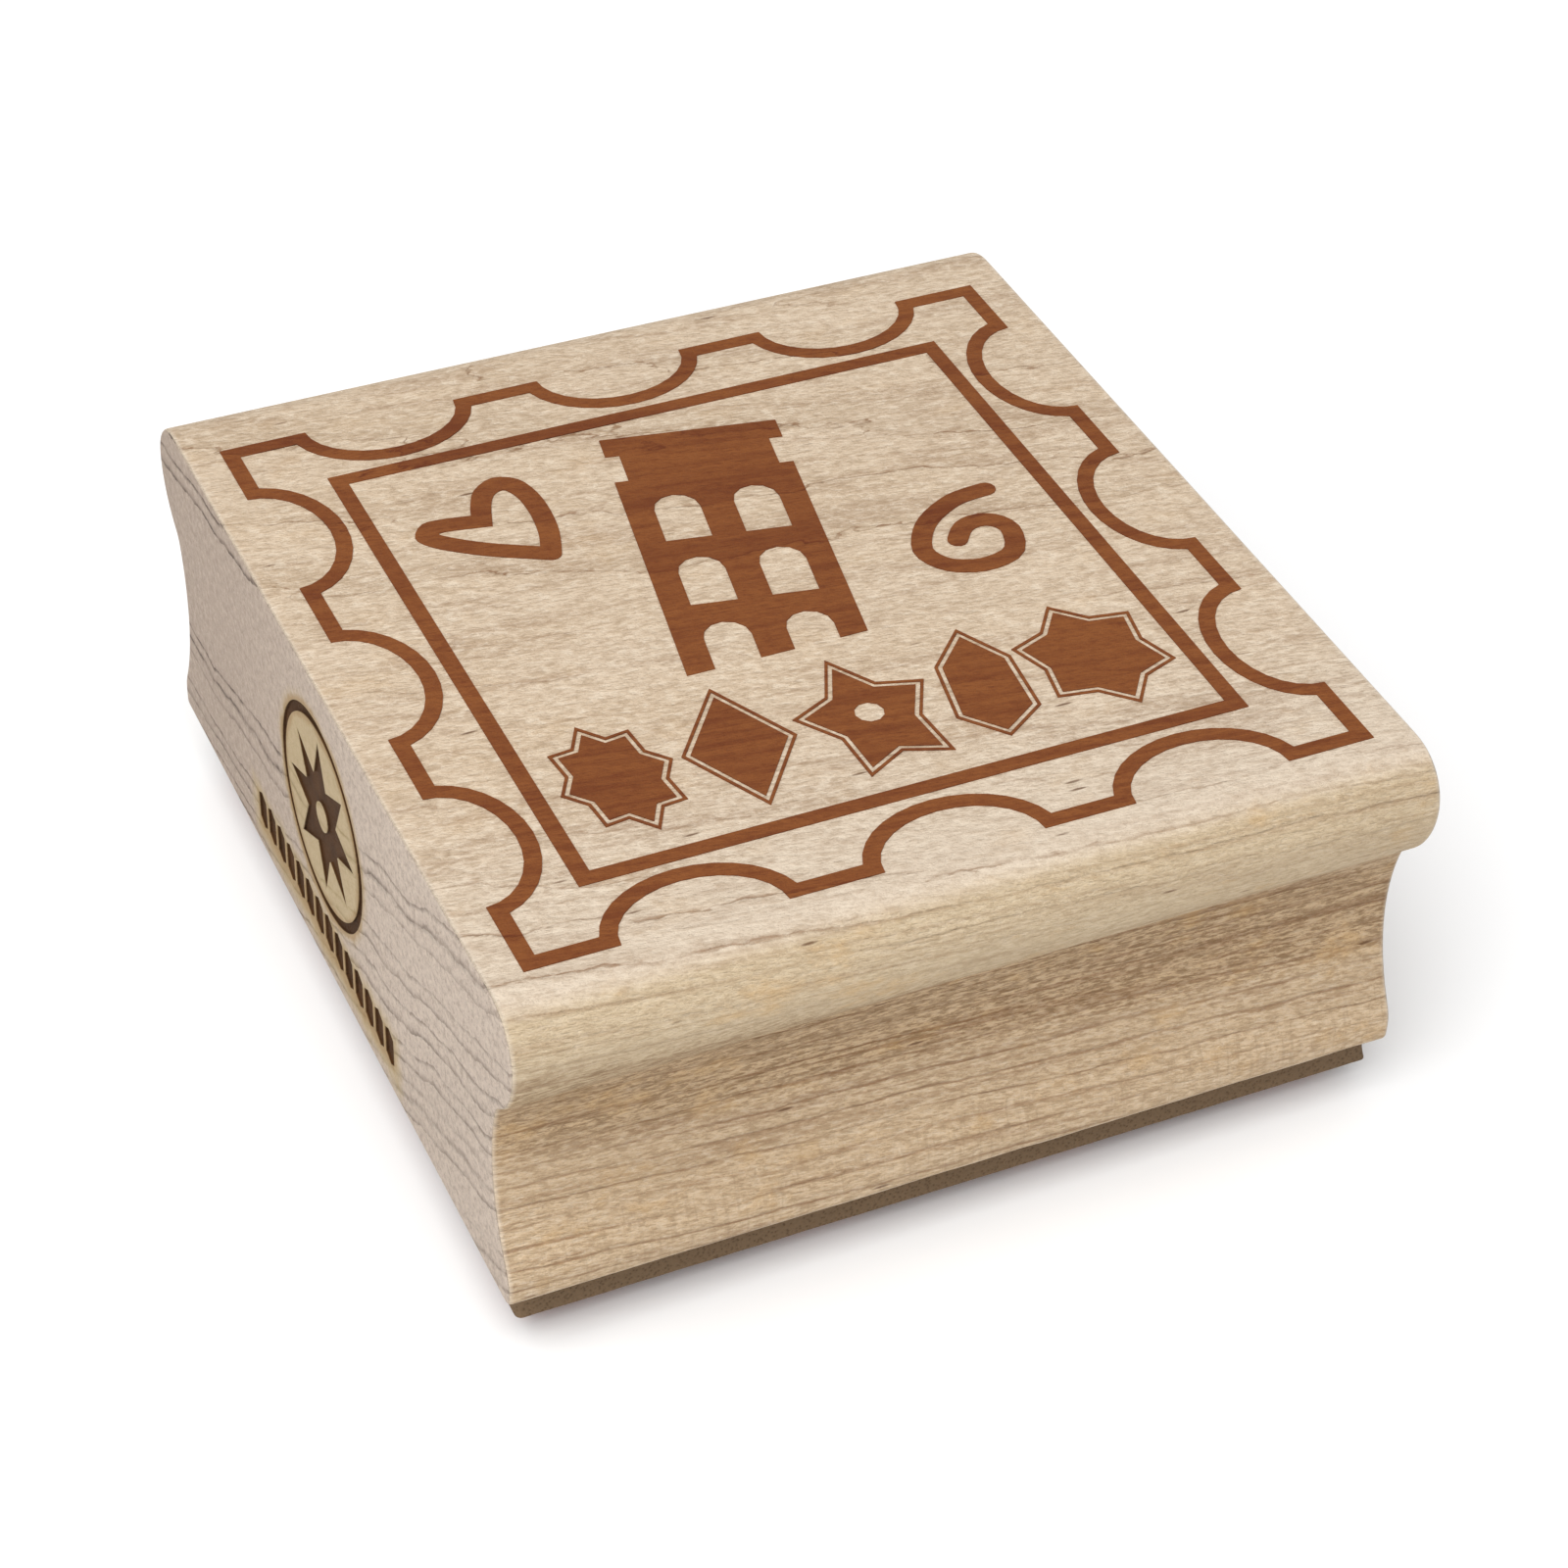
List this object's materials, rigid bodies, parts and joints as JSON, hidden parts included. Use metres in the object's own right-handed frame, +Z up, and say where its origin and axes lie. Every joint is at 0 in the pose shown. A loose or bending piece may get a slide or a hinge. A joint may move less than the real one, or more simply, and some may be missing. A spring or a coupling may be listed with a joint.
{
  "type": "rubber stamp",
  "caption": "Wood-mounted rubber stamp: moulded maple block with finger coves, printed index picture, foam cushion and raised rubber die.",
  "frame": {"origin": "middle of the printing face, where the stamp meets the paper, under the middle of the block", "axes": "+Z up through the block, X along the wood grain from the marked end (-X) to the plain end (+X), -Y is the front grip moulding"},
  "size_m": [0.07, 0.0762, 0.0334],
  "materials": {
    "maple": "bare sanded maple, closed grain",
    "index_ink": "dry brown ink soaked into the grain",
    "adhesive": "thin clear to cream double-sided adhesive",
    "foam": "matt dark brown closed-cell cushion foam",
    "rubber": "matt red-brown vulcanised rubber"
  },
  "bodies": {
    "mount": {"wood_block": "maple", "index_border": "index_ink", "index_frame": "index_ink", "index_tower": "index_ink", "index_heart": "index_ink", "index_swirl": "index_ink", "index_burst": "index_ink", "index_burst_outline": "index_ink", "index_diamond": "index_ink", "index_diamond_outline": "index_ink", "index_star": "index_ink", "index_star_outline": "index_ink", "index_lozenge": "index_ink", "index_lozenge_outline": "index_ink", "index_rosette": "index_ink", "index_rosette_outline": "index_ink", "block_adhesive": "adhesive", "foam_cushion": "foam"},
    "die": {"die_adhesive": "adhesive", "rubber_die": "rubber"}
  },
  "joints": [
    {"name": "cushion_press", "type": "slide", "parent": "mount", "child": "die", "axis": [0, 0, 1], "range_m": [0, 0.0012], "stiffness_N_per_m": 80000, "deforming": ["foam_cushion"]}
  ]
}
